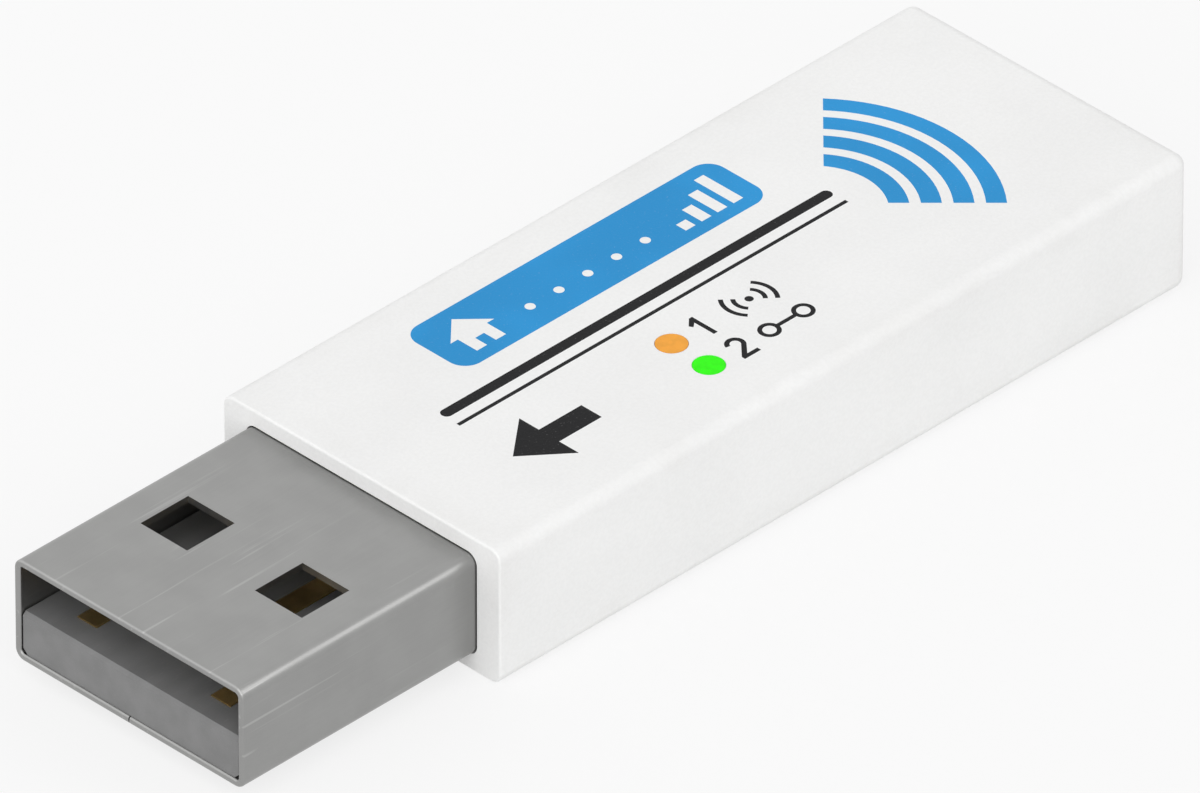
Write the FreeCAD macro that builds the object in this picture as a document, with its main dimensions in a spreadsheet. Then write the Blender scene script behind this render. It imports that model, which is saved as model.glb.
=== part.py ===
import FreeCAD, Part
import math
import os
import re

import Sketcher

# A smart home radio stick: a white moulded sleeve, closed and rounded at its far end, that
# holds a folded steel plug, the circuit board behind it and a radio module with its antenna.
# Frame: +X runs from the plug's tip to the far end of the body, +Z is the side with the two
# indicator dots, and the origin is under the middle of the stick, on the surface it lies on.

SIZES = (
    # Plug shell, folded from one sheet
    ("plug_width", 12.0, "plug, outside"),
    ("plug_height", 4.5, "plug, outside"),
    ("plug_reach", 12.0, "bare plug in front of the body"),
    ("plug_seat", 6.8, "plug shell inside the body"),
    ("shell_sheet", 0.3, "steel sheet of the plug shell"),
    ("fold_radius", 0.45, "outside radius of the folds of the shell"),
    ("tip_rounding", 0.1, "rounding of the outer edge of the plug's mouth"),
    ("window_side", 2.45, "square windows in the shell"),
    ("window_setback", 6.0, "from the plug's tip to the middle of the windows"),
    ("window_pitch", 6.0, "between the middles of two windows"),
    ("seam_gap", 0.06, "gap of the seam under the shell"),
    ("key_root", 1.1, "dovetail of the seam at its root"),
    ("key_crown", 1.5, "dovetail of the seam at its crown"),
    ("key_depth", 0.8, "dovetail of the seam, across it"),
    ("key_setback", 2.5, "from the plug's tip to the first dovetail"),
    ("key_pitch", 7.0, "between two dovetails"),
    ("lance_length", 2.2, "spring lance in each side of the shell"),
    ("lance_width", 1.3, "spring lance, up and down"),
    ("lance_rise", 0.32, "how far the lance's free end stands out"),
    ("lance_slit", 0.2, "slit round the lance"),
    ("lance_setback", 1.6, "from the body's front face to the lance's free end"),
    ("lance_room", 0.12, "round the lance in the housing's pocket"),
    ("solder_tab", 1.5, "length of the solder tabs behind the shell"),
    # Insulator and contacts
    ("tongue_thickness", 1.84, "plastic tongue"),
    ("tongue_recess", 0.1, "tongue's front behind the plug's tip"),
    ("tongue_lead_in", 0.15, "chamfer on the tongue's front edge"),
    ("mouth_depth", 10.0, "free depth above the tongue"),
    ("insulator_gap", 0.05, "between insulator and shell"),
    ("insulator_corner", 0.22, "chamfer along the insulator's long edges"),
    ("block_recess", 0.25, "insulator's back inside the shell"),
    ("contact_width", 1.0, "contact strips"),
    ("contact_sheet", 0.25, "contact strips, thickness"),
    ("contact_proud", 0.04, "contact strips above the tongue"),
    ("contact_bend", 0.08, "inside radius of the contacts' bends"),
    ("contact_run", 0.7, "from the insulator to a contact's step down"),
    ("contact_tail", 1.4, "flat end of a contact on the board"),
    ("groove_gap", 0.02, "round each contact in the insulator"),
    ("outer_contact_pitch", 7.0, "between the two outer contacts"),
    ("inner_contact_pitch", 2.0, "between the two inner contacts"),
    ("outer_contact_setback", 1.2, "outer contacts behind the tongue's front"),
    ("inner_contact_setback", 2.2, "inner contacts behind the tongue's front"),
    # Housing, one moulding
    ("body_length", 36.3, "housing"),
    ("side_wall", 1.2, "housing wall beside the plug"),
    ("flat_wall", 0.7, "housing wall above and below the plug"),
    ("end_wall", 1.0, "housing wall at the far end"),
    ("edge_radius", 0.5, "outer rounding of the housing"),
    ("front_rounding", 0.1, "slight rounding of the housing's front edge"),
    ("fit_gap", 0.05, "all round the plug in its seat"),
    ("stop_gap", 0.1, "behind the plug shell, before the rails"),
    ("rail_reach", 0.6, "side rails inwards, over the board's edges"),
    ("rail_gap", 0.05, "between board and rails"),
    ("rib_height", 0.3, "ribs that carry the board"),
    ("rib_width", 0.8, "ribs that carry the board"),
    ("rib_pitch", 7.5, "between the middles of the two ribs"),
    # Circuit board
    ("board_thickness", 0.8, "main board"),
    ("board_side_gap", 0.1, "main board to the housing's sides"),
    ("board_front_gap", 0.1, "main board behind the plug shell"),
    ("board_end_gap", 0.3, "main board to the end wall"),
    ("board_corner", 0.8, "cut corners at the board's far end"),
    ("neck_gap", 0.04, "between the board's neck and the solder tabs"),
    # Indicator dots: a light pipe in the housing above a lamp on the board
    ("dot_diameter", 1.25, "heads of the light pipes"),
    ("dot_setback", 13.95, "from the body's front face to the dots"),
    ("dot_offset", 3.21, "middle of the two dots from the centre line"),
    ("dot_pitch", 1.95, "between the two dots"),
    ("dot_head", 0.35, "thickness of the light pipes' heads"),
    ("stem_diameter", 0.95, "light pipes below their heads"),
    ("stem_gap", 0.2, "between light pipe and lamp"),
    ("stem_rounding", 0.12, "rounding of a light pipe's lower end"),
    ("pipe_gap", 0.02, "round each light pipe in the housing"),
    ("lamp_length", 1.6, "lamp"),
    ("lamp_width", 0.8, "lamp"),
    ("lamp_base", 0.25, "lamp's base, thickness"),
    ("lamp_height", 0.6, "lamp"),
    ("lens_length", 1.1, "lamp's clear part"),
    ("lens_inset", 0.05, "lamp's clear part inside its base"),
    # Chips and small parts on the boards
    ("part_gap", 0.6, "between neighbours on the main board"),
    ("small_length", 1.0, "small capacitors and inductors"),
    ("small_width", 0.5, "small capacitors and inductors"),
    ("small_height", 0.5, "small capacitors and inductors"),
    ("medium_length", 1.6, "resistors and bead"),
    ("medium_width", 0.8, "resistors and bead"),
    ("resistor_height", 0.45, "resistors"),
    ("bead_height", 0.8, "ferrite bead"),
    ("large_length", 2.0, "input and output capacitors"),
    ("large_width", 1.25, "input and output capacitors"),
    ("large_height", 1.25, "input and output capacitors"),
    ("cap_share", 0.25, "share of a small part's length in each metal end"),
    ("cap_proud", 0.02, "metal ends outside the ceramic"),
    ("flat_chip_side", 4.0, "interface and radio chips"),
    ("flat_chip_height", 0.85, "interface and radio chips"),
    ("pin_mark", 0.5, "round dimple beside the first pin"),
    ("pin_mark_depth", 0.05, "round dimple beside the first pin"),
    ("surge_length", 2.9, "surge protector's body"),
    ("surge_width", 1.6, "surge protector's body"),
    ("surge_height", 1.1, "surge protector"),
    ("surge_span", 2.8, "surge protector over its leads"),
    ("surge_lead", 0.4, "surge protector's leads, width"),
    ("surge_pitch", 0.95, "surge protector's leads"),
    ("regulator_length", 2.0, "regulator's body"),
    ("regulator_width", 1.25, "regulator's body"),
    ("regulator_height", 0.95, "regulator"),
    ("regulator_span", 2.1, "regulator over its leads"),
    ("regulator_lead", 0.25, "regulator's leads, width"),
    ("regulator_pitch", 0.65, "regulator's leads"),
    ("lead_sheet", 0.15, "leads of surge protector and regulator"),
    # Radio module
    ("module_length", 9.0, "radio board, along the stick"),
    ("module_width", 9.6, "radio board, across the stick"),
    ("module_thickness", 0.6, "radio board"),
    ("edge_hole", 0.6, "half round solder holes at the radio board's sides"),
    ("edge_hole_pitch", 1.2, "half round solder holes"),
    ("shield_margin", 0.55, "radio board outside the shield"),
    ("shield_height", 1.9, "shield"),
    ("shield_sheet", 0.2, "shield"),
    ("shield_fold", 0.35, "outside radius of the shield's folds"),
    ("shield_hole", 0.7, "holes in the shield's top"),
    ("shield_hole_pitch", 1.8, "holes in the shield's top"),
    ("crystal_length", 2.0, "radio crystal"),
    ("crystal_width", 1.6, "radio crystal"),
    ("crystal_height", 0.55, "radio crystal"),
    ("crystal_lid", 0.15, "radio crystal's lid, thickness"),
    ("crystal_rim", 0.12, "radio crystal's base outside its lid"),
    ("module_gap", 0.45, "between neighbours under the shield"),
    ("antenna_length", 7.0, "chip antenna, across the stick"),
    ("antenna_width", 2.0, "chip antenna"),
    ("antenna_height", 1.2, "chip antenna"),
    ("antenna_margin", 0.7, "chip antenna to the board's far end"),
)

SEAM_KEYS = 2
LEADS_EACH_SIDE = 3
EDGE_HOLES = 6
SHIELD_HOLES_ALONG = 3
SHIELD_HOLES_ACROSS = 3
RADIO_CAPACITORS = 4
RADIO_INDUCTORS = 2

NAMES = {name for name, value, note in SIZES}

# Places worked out from the sizes. Along the stick
TIP = "(-(plug_reach + body_length) / 2)"
FACE = "((plug_reach - body_length) / 2)"
REAR = "((plug_reach + body_length) / 2)"
SHELL_END = f"({FACE} + plug_seat)"
TONGUE_FRONT = f"({TIP} + tongue_recess)"
BLOCK_FRONT = f"({TIP} + mouth_depth)"
BLOCK_END = f"({SHELL_END} - block_recess)"
RAIL_FRONT = f"({SHELL_END} + stop_gap)"
CHANNEL_END = f"({REAR} - end_wall)"
BOARD_FRONT = f"({SHELL_END} + board_front_gap)"
BOARD_END = f"({CHANNEL_END} - board_end_gap)"
LANCE_FREE = f"({FACE} + lance_setback)"
LANCE_ROOT = f"({LANCE_FREE} + lance_length)"

# Across it, from the centre line
PLUG_HALF = "(plug_width / 2)"
PLUG_INNER_HALF = "(plug_width / 2 - shell_sheet)"
SEAT_HALF = "(plug_width / 2 + fit_gap)"
BODY_HALF = "(plug_width / 2 + fit_gap + side_wall)"
RAIL_HALF = f"({SEAT_HALF} - rail_reach)"
BOARD_HALF = f"({SEAT_HALF} - board_side_gap)"
NECK_HALF = f"({PLUG_INNER_HALF} - neck_gap)"
INSULATOR_HALF = f"({PLUG_INNER_HALF} - insulator_gap)"

# Upwards
BODY_TOP = "(2 * flat_wall + 2 * fit_gap + plug_height)"
CEILING = "(flat_wall + 2 * fit_gap + plug_height)"
PLUG_BOTTOM = "(flat_wall + fit_gap)"
PLUG_MIDDLE = "(flat_wall + fit_gap + plug_height / 2)"
TONGUE_BOTTOM = f"({PLUG_BOTTOM} + shell_sheet)"
TONGUE_TOP = f"({TONGUE_BOTTOM} + tongue_thickness)"
BLOCK_TOP = f"({PLUG_BOTTOM} + plug_height - shell_sheet - insulator_gap)"
CONTACT_TOP = f"({TONGUE_TOP} + contact_proud)"
BOARD_BOTTOM = "(flat_wall + rib_height)"
BOARD_TOP = "(flat_wall + rib_height + board_thickness)"
MODULE_TOP = f"({BOARD_TOP} + module_thickness)"

# The two dots, and the parts on the main board one behind the other
DOTS_ALONG = f"({FACE} + dot_setback)"
ORANGE_ACROSS = "(-dot_offset + dot_pitch / 2)"
GREEN_ACROSS = "(-dot_offset - dot_pitch / 2)"
FIRST_ROW = f"({DOTS_ALONG} - lamp_length / 2 - part_gap - surge_span / 2)"
RESISTORS_ALONG = f"({DOTS_ALONG} + lamp_length / 2 + part_gap + medium_length / 2)"
CHIP_ALONG = f"({DOTS_ALONG} - lamp_length / 2 + flat_chip_side / 2)"
CHIP_ACROSS = f"({ORANGE_ACROSS} + lamp_width / 2 + part_gap + flat_chip_side / 2)"
THIRD_ROW = f"({CHIP_ALONG} + flat_chip_side / 2 + part_gap + large_width / 2)"
ANTENNA_ALONG = f"({BOARD_END} - antenna_margin - antenna_width / 2)"
MODULE_ALONG = f"(({THIRD_ROW} + large_width / 2 + {ANTENNA_ALONG} - antenna_width / 2) / 2)"

doc = FreeCAD.newDocument("radio_stick")


def make_sheet():
    sheet = doc.addObject("Spreadsheet::Sheet", "Sizes")
    for row, (name, value, note) in enumerate(SIZES, start=1):
        sheet.set(f"A{row}", name)
        sheet.set(f"B{row}", str(value))
        sheet.set(f"C{row}", note)
        sheet.setAlias(f"B{row}", name)
    doc.recompute()
    return sheet


SHEET = make_sheet()
NODES = []


def sized(text):
    """An expression in which each size is looked up in the sheet."""
    return re.sub(r"[a-z_]+", lambda word: f"Sizes.{word[0]}" if word[0] in NAMES else word[0], str(text))


def number(text):
    """The present value of an expression."""
    return float(SHEET.evalExpression(sized(text)))


def bind(thing, where, text):
    thing.setExpression(where, sized(text))


def new_body(name):
    body = doc.addObject("PartDesign::Body", name)
    body.Label = name
    NODES.append(body)
    return body


def place(body, along=0, across=0, up=0, turned=False):
    angle = 90 if turned else 0
    body.Placement = FreeCAD.Placement(FreeCAD.Vector(), FreeCAD.Rotation(FreeCAD.Vector(0, 0, 1), angle))
    bind(body, "Placement.Base.x", along)
    bind(body, "Placement.Base.y", across)
    bind(body, "Placement.Base.z", up)


def new_sketch(body, name, plane, offset=0):
    """A sketch on one of the body's own planes, moved along that plane's normal."""
    sketch = body.newObject("Sketcher::SketchObject", name)
    role = f"{plane}_Plane"
    support = [feature for feature in body.Origin.OriginFeatures if feature.Role == role][0]
    sketch.AttachmentSupport = [(support, "")]
    sketch.MapMode = "FlatFace"
    bind(sketch, "AttachmentOffset.Base.z", offset)
    return sketch


def pin_point(sketch, edge, end, right, up):
    for kind, text in (("DistanceX", right), ("DistanceY", up)):
        rule = sketch.addConstraint(Sketcher.Constraint(kind, -1, 1, edge, end, number(text)))
        bind(sketch, f"Constraints[{rule}]", text)


def outline(sketch, corners):
    """A closed outline. A corner is (right, up), or (right, up, radius, middle right, middle up)
    where an arc of that radius round that middle leads to the next corner."""
    ends = []
    spots = [FreeCAD.Vector(number(corner[0]), number(corner[1]), 0) for corner in corners]
    for index, corner in enumerate(corners):
        start = spots[index]
        stop = spots[(index + 1) % len(spots)]
        if len(corner) == 2:
            edge = sketch.addGeometry(Part.LineSegment(start, stop), False)
            ends.append((edge, 1, 2))
            continue
        radius, middle_right, middle_up = corner[2:]
        middle = FreeCAD.Vector(number(middle_right), number(middle_up), 0)
        circle = Part.Circle(middle, FreeCAD.Vector(0, 0, 1), number(radius))
        first = math.atan2(start.y - middle.y, start.x - middle.x)
        last = math.atan2(stop.y - middle.y, stop.x - middle.x)
        forward = (last - first) % (2 * math.pi) < math.pi
        if forward:
            edge = sketch.addGeometry(Part.ArcOfCircle(circle, first, last), False)
            ends.append((edge, 1, 2))
        else:
            edge = sketch.addGeometry(Part.ArcOfCircle(circle, last, first), False)
            ends.append((edge, 2, 1))
        rule = sketch.addConstraint(Sketcher.Constraint("Radius", edge, number(radius)))
        bind(sketch, f"Constraints[{rule}]", radius)
    for index, (edge, start, stop) in enumerate(ends):
        following, following_start, _ = ends[(index + 1) % len(ends)]
        sketch.addConstraint(Sketcher.Constraint("Coincident", edge, stop, following, following_start))
        pin_point(sketch, edge, start, corners[index][0], corners[index][1])


def rectangle(sketch, left, right, low, high):
    outline(sketch, [(left, low), (right, low), (right, high), (left, high)])


def rounded_rectangle(sketch, half_width, low, high, radius):
    left_middle = f"(-{half_width} + {radius})"
    right_middle = f"({half_width} - {radius})"
    low_middle = f"({low} + {radius})"
    high_middle = f"({high} - {radius})"
    outline(sketch, [
        (left_middle, low),
        (right_middle, low, radius, right_middle, low_middle),
        (half_width, low_middle),
        (half_width, high_middle, radius, right_middle, high_middle),
        (right_middle, high),
        (left_middle, high, radius, left_middle, high_middle),
        (f"-{half_width}", high_middle),
        (f"-{half_width}", low_middle, radius, left_middle, low_middle),
    ])


def disc(sketch, right, up, diameter):
    radius = f"{diameter} / 2"
    circle = Part.Circle(FreeCAD.Vector(number(right), number(up), 0), FreeCAD.Vector(0, 0, 1), number(radius))
    edge = sketch.addGeometry(circle, False)
    rule = sketch.addConstraint(Sketcher.Constraint("Radius", edge, number(radius)))
    bind(sketch, f"Constraints[{rule}]", radius)
    pin_point(sketch, edge, 3, right, up)


def pad(body, sketch, length, both_ways=False):
    feature = body.newObject("PartDesign::Pad", "Pad")
    feature.Profile = sketch
    feature.SideType = "Symmetric" if both_ways else "One side"
    bind(feature, "Length", length)
    doc.recompute()
    return feature


def pocket(body, sketch, depth, both_ways=False, reverse=False):
    """Cuts along the sketch's normal, backwards unless reversed, and checks that it did cut."""
    before = body.Shape.Volume
    feature = body.newObject("PartDesign::Pocket", "Pocket")
    feature.Profile = sketch
    feature.SideType = "Symmetric" if both_ways else "One side"
    feature.Reversed = reverse
    bind(feature, "Length", depth)
    doc.recompute()
    if body.Shape.Volume >= before:
        raise RuntimeError(f"{body.Label}: {sketch.Label} cuts nothing")
    return feature


def dress(body, kind, base, where, size):
    """A fillet or chamfer on the base's edges for which where(edge) holds."""
    names = [f"Edge{index}" for index, edge in enumerate(base.Shape.Edges, start=1) if where(edge)]
    if not names:
        raise RuntimeError(f"{body.Label}: no edge for the {kind}")
    feature = body.newObject(f"PartDesign::{kind}", kind)
    feature.Base = (base, names)
    bind(feature, "Radius" if kind == "Fillet" else "Size", size)
    doc.recompute()
    return feature


def lies_at(edge, axis, value):
    """Whether an edge lies in the plane where the axis, 0 to 2, has a value."""
    return all(abs(vertex.Point[axis] - value) < 1e-6 for vertex in edge.Vertexes)


def runs_along(edge, axis):
    """Whether a straight edge is parallel to the axis, 0 to 2."""
    if not isinstance(edge.Curve, Part.Line):
        return False
    return abs(abs(edge.Curve.Direction[axis]) - 1) < 1e-6


def make_housing():
    """One moulding: nearly sharp at its open front, rounded everywhere else."""
    body = new_body("housing")
    block = new_sketch(body, "outside", "YZ", FACE)
    rectangle(block, f"-{BODY_HALF}", BODY_HALF, 0, BODY_TOP)
    solid = pad(body, block, "body_length")
    front = number(FACE)
    rounded = dress(body, "Fillet", solid, lambda edge: not lies_at(edge, 0, front), "edge_radius")
    dress(body, "Fillet", rounded, lambda edge: lies_at(edge, 0, front), "front_rounding")

    seat = new_sketch(body, "plug_seat_outline", "YZ", FACE)
    rounded_rectangle(seat, SEAT_HALF, "flat_wall", CEILING, "(fold_radius + fit_gap)")
    pocket(body, seat, "plug_seat + stop_gap", reverse=True)

    # Behind the plug the board slides under two side rails that end its travel
    channel = new_sketch(body, "board_channel", "YZ", RAIL_FRONT)
    rail_bottom = f"({BOARD_TOP} + rail_gap)"
    outline(channel, [
        (f"-{SEAT_HALF}", "flat_wall"),
        (SEAT_HALF, "flat_wall"),
        (SEAT_HALF, rail_bottom),
        (RAIL_HALF, rail_bottom),
        (RAIL_HALF, CEILING),
        (f"-{RAIL_HALF}", CEILING),
        (f"-{RAIL_HALF}", rail_bottom),
        (f"-{SEAT_HALF}", rail_bottom),
    ])
    pocket(body, channel, f"{CHANNEL_END} - {RAIL_FRONT}", reverse=True)

    ribs = new_sketch(body, "board_ribs", "XY", "flat_wall")
    rib_front = f"({BOARD_FRONT} + solder_tab + neck_gap)"
    for side in ("-", ""):
        middle = f"{side}rib_pitch / 2"
        rectangle(ribs, rib_front, CHANNEL_END, f"{middle} - rib_width / 2", f"{middle} + rib_width / 2")
    pad(body, ribs, "rib_height")

    catches = new_sketch(body, "lance_pockets", "XZ")
    catch_half = "(lance_width / 2 + lance_room)"
    rectangle(catches, f"{LANCE_FREE} - lance_room", f"{LANCE_ROOT} + lance_room",
              f"{PLUG_MIDDLE} - {catch_half}", f"{PLUG_MIDDLE} + {catch_half}")
    pocket(body, catches, "plug_width + 2 * (lance_rise + lance_room)", both_ways=True)

    for name, diameter, depth in (("dot_heads", "dot_diameter", "dot_head"),
                                  ("dot_stems", "stem_diameter", "flat_wall")):
        holes = new_sketch(body, name, "XY", BODY_TOP)
        for across in (ORANGE_ACROSS, GREEN_ACROSS):
            disc(holes, DOTS_ALONG, across, f"({diameter} + 2 * pipe_gap)")
        pocket(body, holes, depth)
    return body


def make_plug_shell():
    """A strip folded to a rectangular tube, its seam dovetailed underneath."""
    body = new_body("plug_shell")
    section = new_sketch(body, "folded_section", "YZ", TIP)
    plug_top = f"({PLUG_BOTTOM} + plug_height)"
    rounded_rectangle(section, PLUG_HALF, PLUG_BOTTOM, plug_top, "fold_radius")
    rounded_rectangle(section, PLUG_INNER_HALF, f"({PLUG_BOTTOM} + shell_sheet)",
                      f"({plug_top} - shell_sheet)", "(fold_radius - shell_sheet)")
    tube = pad(body, section, "plug_reach + plug_seat")
    tip = number(TIP)
    low = number(PLUG_BOTTOM)
    high = number(plug_top)
    inner_half = number(PLUG_INNER_HALF)
    sheet = number("shell_sheet")

    def on_outer_mouth(edge):
        if not lies_at(edge, 0, tip):
            return False
        middle = edge.valueAt((edge.FirstParameter + edge.LastParameter) / 2)
        return abs(middle.y) > inner_half or middle.z < low + sheet / 2 or middle.z > high - sheet / 2

    dress(body, "Fillet", tube, on_outer_mouth, "tip_rounding")

    windows = new_sketch(body, "windows", "XY", PLUG_MIDDLE)
    window_middle = f"({TIP} + window_setback)"
    for side in ("-", ""):
        across = f"{side}window_pitch / 2"
        rectangle(windows, f"{window_middle} - window_side / 2", f"{window_middle} + window_side / 2",
                  f"{across} - window_side / 2", f"{across} + window_side / 2")
    pocket(body, windows, "2 * plug_height", both_ways=True)

    # The seam runs along the middle, and steps aside round each dovetail
    seam = new_sketch(body, "seam", "XY", PLUG_BOTTOM)
    near = [(TIP, "-seam_gap / 2")]
    far = [(TIP, "seam_gap / 2")]
    for key in range(SEAM_KEYS):
        middle = f"({TIP} + key_setback + {key} * key_pitch)"
        for side in ("-", "+"):
            root = (f"{middle} {side} key_root / 2", "-seam_gap / 2")
            crown = (f"{middle} {side} key_crown / 2", "key_depth - seam_gap / 2")
            outer_root = (f"{middle} {side} (key_root / 2 + seam_gap)", "seam_gap / 2")
            outer_crown = (f"{middle} {side} (key_crown / 2 + seam_gap)", "key_depth + seam_gap / 2")
            near += [root, crown] if side == "-" else [crown, root]
            far += [outer_root, outer_crown] if side == "-" else [outer_crown, outer_root]
    near.append((SHELL_END, "-seam_gap / 2"))
    far.append((SHELL_END, "seam_gap / 2"))
    outline(seam, near + far[::-1])
    pocket(body, seam, "shell_sheet", reverse=True)

    # A lance in each side: its root is behind, its free end stands out in front
    slits = new_sketch(body, "lance_slits", "XZ")
    slit_half = "(lance_width / 2 + lance_slit)"
    rectangle(slits, f"{LANCE_FREE} - lance_slit", LANCE_ROOT,
              f"{PLUG_MIDDLE} - {slit_half}", f"{PLUG_MIDDLE} + {slit_half}")
    pocket(body, slits, "2 * plug_width", both_ways=True)
    lances = new_sketch(body, "lances", "XY", PLUG_MIDDLE)
    for side in ("-", ""):
        outline(lances, [
            (LANCE_ROOT, f"{side}{PLUG_INNER_HALF}"),
            (LANCE_ROOT, f"{side}{PLUG_HALF}"),
            (LANCE_FREE, f"{side}({PLUG_HALF} + lance_rise)"),
            (LANCE_FREE, f"{side}({PLUG_INNER_HALF} + lance_rise)"),
        ])
    pad(body, lances, "lance_width", both_ways=True)

    # The flat part of each side runs on as a tab beside the board, soldered to its edge
    tab_bottom = f"({PLUG_BOTTOM} + fold_radius)"
    tabs = new_sketch(body, "solder_tabs", "XY", tab_bottom)
    for side in ("-", ""):
        rectangle(tabs, SHELL_END, f"{SHELL_END} + solder_tab", f"{side}{PLUG_INNER_HALF}", f"{side}{PLUG_HALF}")
    pad(body, tabs, f"{BOARD_TOP} - {tab_bottom}")
    return body


def make_plug_insulator():
    """Tongue and block in one, with a groove for each contact."""
    body = new_body("plug_insulator")
    side = new_sketch(body, "side_view", "XZ")
    outline(side, [
        (TONGUE_FRONT, TONGUE_BOTTOM),
        (BLOCK_END, TONGUE_BOTTOM),
        (BLOCK_END, BLOCK_TOP),
        (BLOCK_FRONT, BLOCK_TOP),
        (BLOCK_FRONT, TONGUE_TOP),
        (TONGUE_FRONT, TONGUE_TOP),
    ])
    solid = pad(body, side, f"2 * {INSULATOR_HALF}", both_ways=True)
    low = number(TONGUE_BOTTOM)
    high = number(BLOCK_TOP)
    front = number(TONGUE_FRONT)
    tongue_top = number(TONGUE_TOP)

    def in_a_fold(edge):
        return runs_along(edge, 0) and (lies_at(edge, 2, low) or lies_at(edge, 2, high))

    corners = dress(body, "Chamfer", solid, in_a_fold, "insulator_corner")
    dress(body, "Chamfer", corners,
          lambda edge: lies_at(edge, 0, front) and lies_at(edge, 2, tongue_top), "tongue_lead_in")

    for kind in ("outer", "inner"):
        grooves = new_sketch(body, f"{kind}_grooves", "YZ", BLOCK_END)
        contact_half = "(contact_width / 2 + groove_gap)"
        for sign in ("-", ""):
            across = f"{sign}{kind}_contact_pitch / 2"
            rectangle(grooves, f"{across} - {contact_half}", f"{across} + {contact_half}",
                      f"{CONTACT_TOP} - contact_sheet", f"{CONTACT_TOP} + groove_gap")
        pocket(body, grooves, f"{BLOCK_END} - {TONGUE_FRONT} - {kind}_contact_setback + groove_gap")
    return body


def make_contact(name, kind, sign):
    """A strip on the tongue that steps down behind the insulator to the board."""
    body = new_body(name)
    strip = new_sketch(body, "strip", "XZ")
    front = f"({TONGUE_FRONT} + {kind}_contact_setback)"
    strip_bottom = f"({CONTACT_TOP} - contact_sheet)"
    step_front = f"({BLOCK_END} + contact_run)"
    step_back = f"({step_front} + contact_sheet)"
    outer_bend = "(contact_bend + contact_sheet)"
    tail_top = f"({BOARD_TOP} + contact_sheet)"
    tail_end = f"({step_back} + contact_tail)"
    upper = (f"({step_front} - contact_bend)", f"({strip_bottom} - contact_bend)")
    lower = (f"({step_back} + contact_bend)", f"({tail_top} + contact_bend)")
    outline(strip, [
        (front, strip_bottom),
        (upper[0], strip_bottom, "contact_bend") + upper,
        (step_front, upper[1]),
        (step_front, lower[1], outer_bend) + lower,
        (lower[0], BOARD_TOP),
        (tail_end, BOARD_TOP),
        (tail_end, tail_top),
        (lower[0], tail_top, "contact_bend") + lower,
        (step_back, lower[1]),
        (step_back, upper[1], outer_bend) + upper,
        (upper[0], CONTACT_TOP),
        (front, CONTACT_TOP),
    ])
    pad(body, strip, "contact_width", both_ways=True)
    place(body, across=f"{sign}{kind}_contact_pitch / 2")
    return body


def make_circuit_board():
    """The board, narrower in front where the shell's solder tabs stand beside it."""
    body = new_body("circuit_board")
    shape = new_sketch(body, "board_outline", "XY", BOARD_BOTTOM)
    neck_end = f"({SHELL_END} + solder_tab + neck_gap)"
    cut = f"({BOARD_END} - board_corner)"
    outline(shape, [
        (BOARD_FRONT, f"-{NECK_HALF}"),
        (neck_end, f"-{NECK_HALF}"),
        (neck_end, f"-{BOARD_HALF}"),
        (cut, f"-{BOARD_HALF}"),
        (BOARD_END, f"-{BOARD_HALF} + board_corner"),
        (BOARD_END, f"{BOARD_HALF} - board_corner"),
        (cut, BOARD_HALF),
        (neck_end, BOARD_HALF),
        (neck_end, NECK_HALF),
        (BOARD_FRONT, NECK_HALF),
    ])
    pad(body, shape, "board_thickness")
    return body


def make_light_pipe(name, across):
    """A turned clear pin: its head is the dot, its stem ends above the lamp."""
    body = new_body(name)
    half_view = new_sketch(body, "half_view", "XZ")
    reach = f"({BODY_TOP} - {BOARD_TOP} - lamp_height - stem_gap)"
    outline(half_view, [
        ("0", f"-{reach}"),
        ("stem_diameter / 2", f"-{reach}"),
        ("stem_diameter / 2", "-dot_head"),
        ("dot_diameter / 2", "-dot_head"),
        ("dot_diameter / 2", "0"),
        ("0", "0"),
    ])
    turned = body.newObject("PartDesign::Revolution", "Revolution")
    turned.Profile = half_view
    turned.ReferenceAxis = (half_view, ["V_Axis"])
    turned.Angle = 360
    doc.recompute()
    end = -number(reach)
    dress(body, "Fillet", turned, lambda edge: lies_at(edge, 2, end) and edge.Curve.TypeId == "Part::GeomCircle",
          "stem_rounding")
    place(body, DOTS_ALONG, across, BODY_TOP)
    return body


def make_lamp(name, across):
    """A lamp: a base with a clear block on it."""
    body = new_body(name)
    base = new_sketch(body, "base", "XY")
    rectangle(base, "-lamp_length / 2", "lamp_length / 2", "-lamp_width / 2", "lamp_width / 2")
    pad(body, base, "lamp_base")
    lens = new_sketch(body, "lens", "XY", "lamp_base")
    rectangle(lens, "-lens_length / 2", "lens_length / 2",
              "-lamp_width / 2 + lens_inset", "lamp_width / 2 - lens_inset")
    pad(body, lens, "lamp_height - lamp_base")
    place(body, DOTS_ALONG, across, BOARD_TOP)
    return body


def make_capped_part(name, size, height, along, across, up=BOARD_TOP, turned=False):
    """A small ceramic part with a metal cap on each end. Its size names the sheet's values."""
    length = f"{size}_length"
    width = f"{size}_width"
    body = new_body(name)
    ceramic = new_sketch(body, "ceramic", "XY", "cap_proud")
    rectangle(ceramic, f"-{length} / 2 + cap_proud", f"{length} / 2 - cap_proud",
              f"-{width} / 2 + cap_proud", f"{width} / 2 - cap_proud")
    pad(body, ceramic, f"{height} - 2 * cap_proud")
    caps = new_sketch(body, "caps", "XY")
    inner = f"({length} / 2 - {length} * cap_share)"
    rectangle(caps, f"-{length} / 2", f"-{inner}", f"-{width} / 2", f"{width} / 2")
    rectangle(caps, inner, f"{length} / 2", f"-{width} / 2", f"{width} / 2")
    pad(body, caps, height)
    place(body, along, across, up, turned)
    return body


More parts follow.
